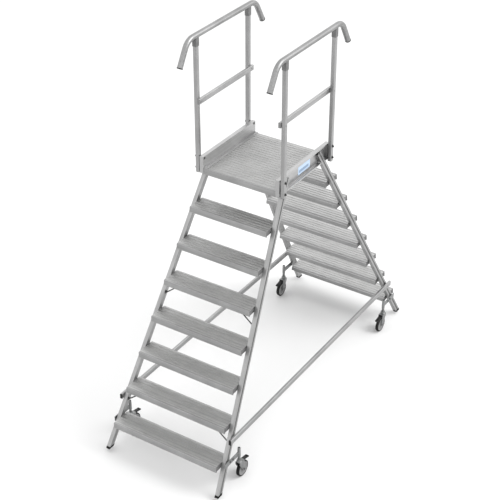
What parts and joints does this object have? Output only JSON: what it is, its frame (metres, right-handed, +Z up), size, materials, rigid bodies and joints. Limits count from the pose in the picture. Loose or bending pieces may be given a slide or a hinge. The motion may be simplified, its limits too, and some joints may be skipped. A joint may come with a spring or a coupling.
{
  "type": "rolling platform ladder",
  "caption": "Double-sided rolling aluminium ladder with ribbed treads up both sides to a platform with guard rails, on sprung swivel casters with brakes.",
  "frame": {"origin": "on the floor under the middle of the platform", "axes": "+Z up, +Y from the front ladder to the rear ladder, +X to the right of someone climbing the front ladder"},
  "size_m": [1.01, 2.741, 2.93],
  "materials": {
    "mill_aluminium": "extruded, mill finish, satin",
    "ribbed_aluminium": "extruded with fine anti-slip ribs, satin",
    "grey_plastic": "moulded, fine matt grain",
    "zinc_steel": "bright zinc plated",
    "rubber": "black, matt",
    "black_plastic": "moulded, satin black"
  },
  "bodies": {
    "ladder_frame": {"platform_deck": "ribbed_aluminium", "front_right_stile": "mill_aluminium", "front_right_foot": "rubber", "front_right_caster_bracket": "zinc_steel", "front_left_stile": "mill_aluminium", "front_left_foot": "rubber", "front_left_caster_bracket": "zinc_steel", "rear_right_stile": "mill_aluminium", "rear_right_foot": "rubber", "rear_right_caster_bracket": "zinc_steel", "rear_left_stile": "mill_aluminium", "rear_left_foot": "rubber", "rear_left_caster_bracket": "zinc_steel", "front_tread_1": "ribbed_aluminium", "front_tread_2": "ribbed_aluminium", "front_tread_3": "ribbed_aluminium", "front_tread_4": "ribbed_aluminium", "front_tread_5": "ribbed_aluminium", "front_tread_6": "ribbed_aluminium", "front_tread_7": "ribbed_aluminium", "rear_tread_1": "ribbed_aluminium", "rear_tread_2": "ribbed_aluminium", "rear_tread_3": "ribbed_aluminium", "rear_tread_4": "ribbed_aluminium", "rear_tread_5": "ribbed_aluminium", "rear_tread_6": "ribbed_aluminium", "rear_tread_7": "ribbed_aluminium", "left_side_beam": "mill_aluminium", "left_tie_bar": "mill_aluminium", "left_handrail": "mill_aluminium", "left_knee_rail": "mill_aluminium", "front_left_post": "mill_aluminium", "front_left_rail_connector": "grey_plastic", "rear_left_post": "mill_aluminium", "rear_left_rail_connector": "grey_plastic", "right_side_beam": "mill_aluminium", "right_tie_bar": "mill_aluminium", "right_handrail": "mill_aluminium", "right_knee_rail": "mill_aluminium", "front_right_post": "mill_aluminium", "front_right_rail_connector": "grey_plastic", "rear_right_post": "mill_aluminium", "rear_right_rail_connector": "grey_plastic"},
    "front_right_stem": {"front_right_caster_stem": "zinc_steel"},
    "front_right_fork": {"front_right_caster_fork": "zinc_steel"},
    "front_right_wheel": {"front_right_wheel": "rubber"},
    "front_right_pedal": {"front_right_brake_pedal": "black_plastic"},
    "front_left_stem": {"front_left_caster_stem": "zinc_steel"},
    "front_left_fork": {"front_left_caster_fork": "zinc_steel"},
    "front_left_wheel": {"front_left_wheel": "rubber"},
    "front_left_pedal": {"front_left_brake_pedal": "black_plastic"},
    "rear_right_stem": {"rear_right_caster_stem": "zinc_steel"},
    "rear_right_fork": {"rear_right_caster_fork": "zinc_steel"},
    "rear_right_wheel": {"rear_right_wheel": "rubber"},
    "rear_right_pedal": {"rear_right_brake_pedal": "black_plastic"},
    "rear_left_stem": {"rear_left_caster_stem": "zinc_steel"},
    "rear_left_fork": {"rear_left_caster_fork": "zinc_steel"},
    "rear_left_wheel": {"rear_left_wheel": "rubber"},
    "rear_left_pedal": {"rear_left_brake_pedal": "black_plastic"}
  },
  "joints": [
    {"name": "front_right_stem_slide", "type": "slide", "parent": "ladder_frame", "child": "front_right_stem", "axis": [0, 0, 1], "range_m": [0, 0.025], "stiffness_N_per_m": 8000, "springref_m": -0.03},
    {"name": "front_right_swivel", "type": "hinge", "parent": "front_right_stem", "child": "front_right_fork", "pos_m": [0.48, -1.08, 0.166], "axis": [0, 0, 1], "continuous": true},
    {"name": "front_right_wheel_spin", "type": "hinge", "parent": "front_right_fork", "child": "front_right_wheel", "pos_m": [0.48, -1.042, 0.0625], "axis": [1, 0, 0], "continuous": true},
    {"name": "front_right_pedal_tip", "type": "hinge", "parent": "front_right_fork", "child": "front_right_pedal", "pos_m": [0.48, -1.052, 0.138], "axis": [-1, 0, 0], "range_deg": [0, 12]},
    {"name": "front_left_stem_slide", "type": "slide", "parent": "ladder_frame", "child": "front_left_stem", "axis": [0, 0, 1], "range_m": [0, 0.025], "stiffness_N_per_m": 8000, "springref_m": -0.03},
    {"name": "front_left_swivel", "type": "hinge", "parent": "front_left_stem", "child": "front_left_fork", "pos_m": [-0.48, -1.08, 0.166], "axis": [0, 0, 1], "continuous": true},
    {"name": "front_left_wheel_spin", "type": "hinge", "parent": "front_left_fork", "child": "front_left_wheel", "pos_m": [-0.48, -1.042, 0.0625], "axis": [1, 0, 0], "continuous": true},
    {"name": "front_left_pedal_tip", "type": "hinge", "parent": "front_left_fork", "child": "front_left_pedal", "pos_m": [-0.48, -1.052, 0.138], "axis": [-1, 0, 0], "range_deg": [0, 12]},
    {"name": "rear_right_stem_slide", "type": "slide", "parent": "ladder_frame", "child": "rear_right_stem", "axis": [0, 0, 1], "range_m": [0, 0.025], "stiffness_N_per_m": 8000, "springref_m": -0.03},
    {"name": "rear_right_swivel", "type": "hinge", "parent": "rear_right_stem", "child": "rear_right_fork", "pos_m": [0.48, 1.08, 0.166], "axis": [0, 0, 1], "continuous": true},
    {"name": "rear_right_wheel_spin", "type": "hinge", "parent": "rear_right_fork", "child": "rear_right_wheel", "pos_m": [0.48, 1.042, 0.0625], "axis": [1, 0, 0], "continuous": true},
    {"name": "rear_right_pedal_tip", "type": "hinge", "parent": "rear_right_fork", "child": "rear_right_pedal", "pos_m": [0.48, 1.052, 0.138], "axis": [1, 0, 0], "range_deg": [0, 12]},
    {"name": "rear_left_stem_slide", "type": "slide", "parent": "ladder_frame", "child": "rear_left_stem", "axis": [0, 0, 1], "range_m": [0, 0.025], "stiffness_N_per_m": 8000, "springref_m": -0.03},
    {"name": "rear_left_swivel", "type": "hinge", "parent": "rear_left_stem", "child": "rear_left_fork", "pos_m": [-0.48, 1.08, 0.166], "axis": [0, 0, 1], "continuous": true},
    {"name": "rear_left_wheel_spin", "type": "hinge", "parent": "rear_left_fork", "child": "rear_left_wheel", "pos_m": [-0.48, 1.042, 0.0625], "axis": [1, 0, 0], "continuous": true},
    {"name": "rear_left_pedal_tip", "type": "hinge", "parent": "rear_left_fork", "child": "rear_left_pedal", "pos_m": [-0.48, 1.052, 0.138], "axis": [1, 0, 0], "range_deg": [0, 12]}
  ]
}
